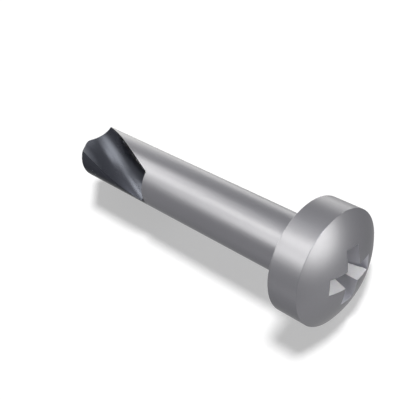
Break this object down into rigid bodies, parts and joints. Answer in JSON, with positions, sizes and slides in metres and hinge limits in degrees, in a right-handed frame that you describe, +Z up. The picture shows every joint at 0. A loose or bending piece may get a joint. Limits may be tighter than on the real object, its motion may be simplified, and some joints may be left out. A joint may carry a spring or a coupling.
{
  "type": "self drilling screw",
  "caption": "Self drilling screw with a domed pan head, a cross recess, a smooth round shank and a dark fluted drill point.",
  "frame": {"origin": "middle of the flat bearing face under the head, on the screw's axis", "axes": "+X along the screw's axis, out of the head; the drill point looks along -X; +Z up as the screw lies on its head and on the edges of its lower flute; the arms of the cross are turned 27 degrees from Y and Z"},
  "size_m": [0.0184, 0.0056, 0.0056],
  "materials": {
    "screw_steel": "smooth satin zinc on the head and shank, near black on the drill point"
  },
  "bodies": {
    "root": {"screw": "screw_steel"}
  },
  "joints": []
}
